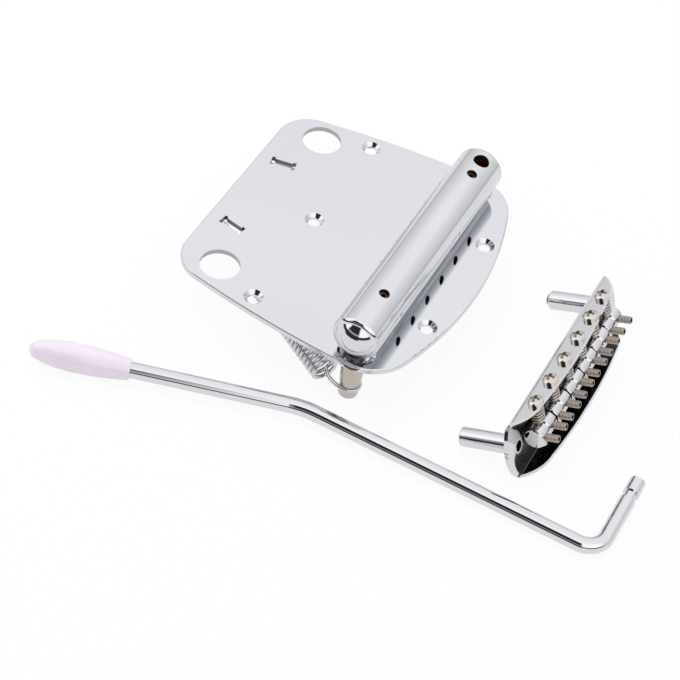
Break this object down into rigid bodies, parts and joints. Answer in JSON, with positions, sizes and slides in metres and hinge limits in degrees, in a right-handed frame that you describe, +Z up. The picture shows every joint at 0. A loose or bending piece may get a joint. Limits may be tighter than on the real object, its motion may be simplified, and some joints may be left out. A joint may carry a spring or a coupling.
{
  "type": "guitar tremolo bridge",
  "caption": "Rocking-bar tremolo tailpiece on a flat chrome plate, with its loose bent arm and a loose six-saddle bridge on two legs.",
  "frame": {"origin": "midway between the two bridge-leg holes, on the underside of the tail plate", "axes": "+X along the strings towards the tail, +Y to the side of the arm socket, +Z up from the guitar's top"},
  "size_m": [0.1948, 0.1469, 0.0378],
  "materials": {
    "chrome_plate": "polished",
    "chrome_bar": "polished",
    "nickel_post": "satin",
    "tail_spring_steel": "polished",
    "set_screw_steel": "satin",
    "chrome_rod": "polished",
    "tip_plastic": "gloss",
    "chrome_bridge": "polished",
    "leg_screw_steel": "satin",
    "saddle_chrome": "polished",
    "height_screw_steel": "satin",
    "intonation_nickel": "polished",
    "small_spring_steel": "polished"
  },
  "bodies": {
    "plate": {"tail_plate": "chrome_plate", "tail_spring_1": "tail_spring_steel", "tail_spring_2": "tail_spring_steel"},
    "bar": {"tail_bar": "chrome_bar", "pivot_post_1": "nickel_post", "pivot_post_2": "nickel_post"},
    "set_screw_1": {"bar_set_screw_1": "set_screw_steel"},
    "set_screw_2": {"bar_set_screw_2": "set_screw_steel"},
    "arm": {"arm_rod": "chrome_rod", "arm_tip": "tip_plastic"},
    "bridge": {"bridge_channel": "chrome_bridge", "bridge_leg_1": "chrome_bridge", "bridge_leg_2": "chrome_bridge", "intonation_spring_1": "small_spring_steel", "intonation_spring_2": "small_spring_steel", "intonation_spring_3": "small_spring_steel", "intonation_spring_4": "small_spring_steel", "intonation_spring_5": "small_spring_steel", "intonation_spring_6": "small_spring_steel"},
    "leg_screw_1": {"leg_height_screw_1": "leg_screw_steel"},
    "leg_screw_2": {"leg_height_screw_2": "leg_screw_steel"},
    "intonation_1": {"intonation_screw_1": "intonation_nickel"},
    "saddle_1": {"saddle_1": "saddle_chrome"},
    "height_pair_1": {"height_screws_1": "height_screw_steel"},
    "intonation_2": {"intonation_screw_2": "intonation_nickel"},
    "saddle_2": {"saddle_2": "saddle_chrome"},
    "height_pair_2": {"height_screws_2": "height_screw_steel"},
    "intonation_3": {"intonation_screw_3": "intonation_nickel"},
    "saddle_3": {"saddle_3": "saddle_chrome"},
    "height_pair_3": {"height_screws_3": "height_screw_steel"},
    "intonation_4": {"intonation_screw_4": "intonation_nickel"},
    "saddle_4": {"saddle_4": "saddle_chrome"},
    "height_pair_4": {"height_screws_4": "height_screw_steel"},
    "intonation_5": {"intonation_screw_5": "intonation_nickel"},
    "saddle_5": {"saddle_5": "saddle_chrome"},
    "height_pair_5": {"height_screws_5": "height_screw_steel"},
    "intonation_6": {"intonation_screw_6": "intonation_nickel"},
    "saddle_6": {"saddle_6": "saddle_chrome"},
    "height_pair_6": {"height_screws_6": "height_screw_steel"}
  },
  "joints": [
    {"name": "bar_rock", "type": "hinge", "parent": "plate", "child": "bar", "pos_m": [0.05312, 0, 0.0005], "axis": [0, 1, 0], "range_deg": [-8, 8], "stiffness_Nm_per_rad": 3, "deforming": ["tail_spring_1", "tail_spring_2"]},
    {"name": "arm_lift", "type": "slide", "parent": "plate", "child": "arm", "axis": [0, 0, 1], "range_m": [0, 0.05]},
    {"name": "bridge_lift", "type": "slide", "parent": "plate", "child": "bridge", "axis": [0, 0, 1], "range_m": [0, 0.05]},
    {"name": "set_screw_travel_1", "type": "slide", "parent": "bar", "child": "set_screw_1", "axis": [0.165, 0, 0.9863], "range_m": [-0.002, 0.001]},
    {"name": "set_screw_travel_2", "type": "slide", "parent": "bar", "child": "set_screw_2", "axis": [0.165, 0, 0.9863], "range_m": [-0.002, 0.001]},
    {"name": "leg_screw_travel_1", "type": "slide", "parent": "bridge", "child": "leg_screw_1", "axis": [0.9271, 0, 0.3748], "range_m": [-0.002, 0.005]},
    {"name": "leg_screw_travel_2", "type": "slide", "parent": "bridge", "child": "leg_screw_2", "axis": [0.9271, 0, 0.3748], "range_m": [-0.003, 0.004]},
    {"name": "intonation_turn_1", "type": "hinge", "parent": "bridge", "child": "intonation_1", "pos_m": [0.11912, -0.03555, -0.00617], "axis": [0.3748, 0, -0.9271], "range_deg": [-2165, 1085]},
    {"name": "saddle_travel_1", "type": "slide", "parent": "bridge", "child": "saddle_1", "axis": [0.3748, 0, -0.9271], "range_m": [-0.0015, 0.003], "deforming": ["intonation_spring_1"]},
    {"name": "height_travel_1", "type": "slide", "parent": "saddle_1", "child": "height_pair_1", "axis": [0.9271, 0, 0.3748], "range_m": [0, 0.002]},
    {"name": "intonation_turn_2", "type": "hinge", "parent": "bridge", "child": "intonation_2", "pos_m": [0.11939, -0.02425, -0.00606], "axis": [0.3748, 0, -0.9271], "range_deg": [-2165, 1085]},
    {"name": "saddle_travel_2", "type": "slide", "parent": "bridge", "child": "saddle_2", "axis": [0.3748, 0, -0.9271], "range_m": [-0.0015, 0.003], "deforming": ["intonation_spring_2"]},
    {"name": "height_travel_2", "type": "slide", "parent": "saddle_2", "child": "height_pair_2", "axis": [0.9271, 0, 0.3748], "range_m": [0, 0.002]},
    {"name": "intonation_turn_3", "type": "hinge", "parent": "bridge", "child": "intonation_3", "pos_m": [0.11952, -0.01295, -0.006], "axis": [0.3748, 0, -0.9271], "range_deg": [-2165, 1085]},
    {"name": "saddle_travel_3", "type": "slide", "parent": "bridge", "child": "saddle_3", "axis": [0.3748, 0, -0.9271], "range_m": [-0.0015, 0.003], "deforming": ["intonation_spring_3"]},
    {"name": "height_travel_3", "type": "slide", "parent": "saddle_3", "child": "height_pair_3", "axis": [0.9271, 0, 0.3748], "range_m": [0, 0.002]},
    {"name": "intonation_turn_4", "type": "hinge", "parent": "bridge", "child": "intonation_4", "pos_m": [0.11952, -0.00165, -0.006], "axis": [0.3748, 0, -0.9271], "range_deg": [-2165, 1085]},
    {"name": "saddle_travel_4", "type": "slide", "parent": "bridge", "child": "saddle_4", "axis": [0.3748, 0, -0.9271], "range_m": [-0.0015, 0.003], "deforming": ["intonation_spring_4"]},
    {"name": "height_travel_4", "type": "slide", "parent": "saddle_4", "child": "height_pair_4", "axis": [0.9271, 0, 0.3748], "range_m": [0, 0.002]},
    {"name": "intonation_turn_5", "type": "hinge", "parent": "bridge", "child": "intonation_5", "pos_m": [0.11939, 0.00965, -0.00606], "axis": [0.3748, 0, -0.9271], "range_deg": [-2165, 1085]},
    {"name": "saddle_travel_5", "type": "slide", "parent": "bridge", "child": "saddle_5", "axis": [0.3748, 0, -0.9271], "range_m": [-0.0015, 0.003], "deforming": ["intonation_spring_5"]},
    {"name": "height_travel_5", "type": "slide", "parent": "saddle_5", "child": "height_pair_5", "axis": [0.9271, 0, 0.3748], "range_m": [0, 0.002]},
    {"name": "intonation_turn_6", "type": "hinge", "parent": "bridge", "child": "intonation_6", "pos_m": [0.11912, 0.02095, -0.00617], "axis": [0.3748, 0, -0.9271], "range_deg": [-2165, 1085]},
    {"name": "saddle_travel_6", "type": "slide", "parent": "bridge", "child": "saddle_6", "axis": [0.3748, 0, -0.9271], "range_m": [-0.0015, 0.003], "deforming": ["intonation_spring_6"]},
    {"name": "height_travel_6", "type": "slide", "parent": "saddle_6", "child": "height_pair_6", "axis": [0.9271, 0, 0.3748], "range_m": [0, 0.002]}
  ],
  "couplings": [
    {"joint": "intonation_turn_1", "follows": "saddle_travel_1", "rad_per_m": -12566},
    {"joint": "intonation_turn_2", "follows": "saddle_travel_2", "rad_per_m": -12566},
    {"joint": "intonation_turn_3", "follows": "saddle_travel_3", "rad_per_m": -12566},
    {"joint": "intonation_turn_4", "follows": "saddle_travel_4", "rad_per_m": -12566},
    {"joint": "intonation_turn_5", "follows": "saddle_travel_5", "rad_per_m": -12566},
    {"joint": "intonation_turn_6", "follows": "saddle_travel_6", "rad_per_m": -12566}
  ]
}
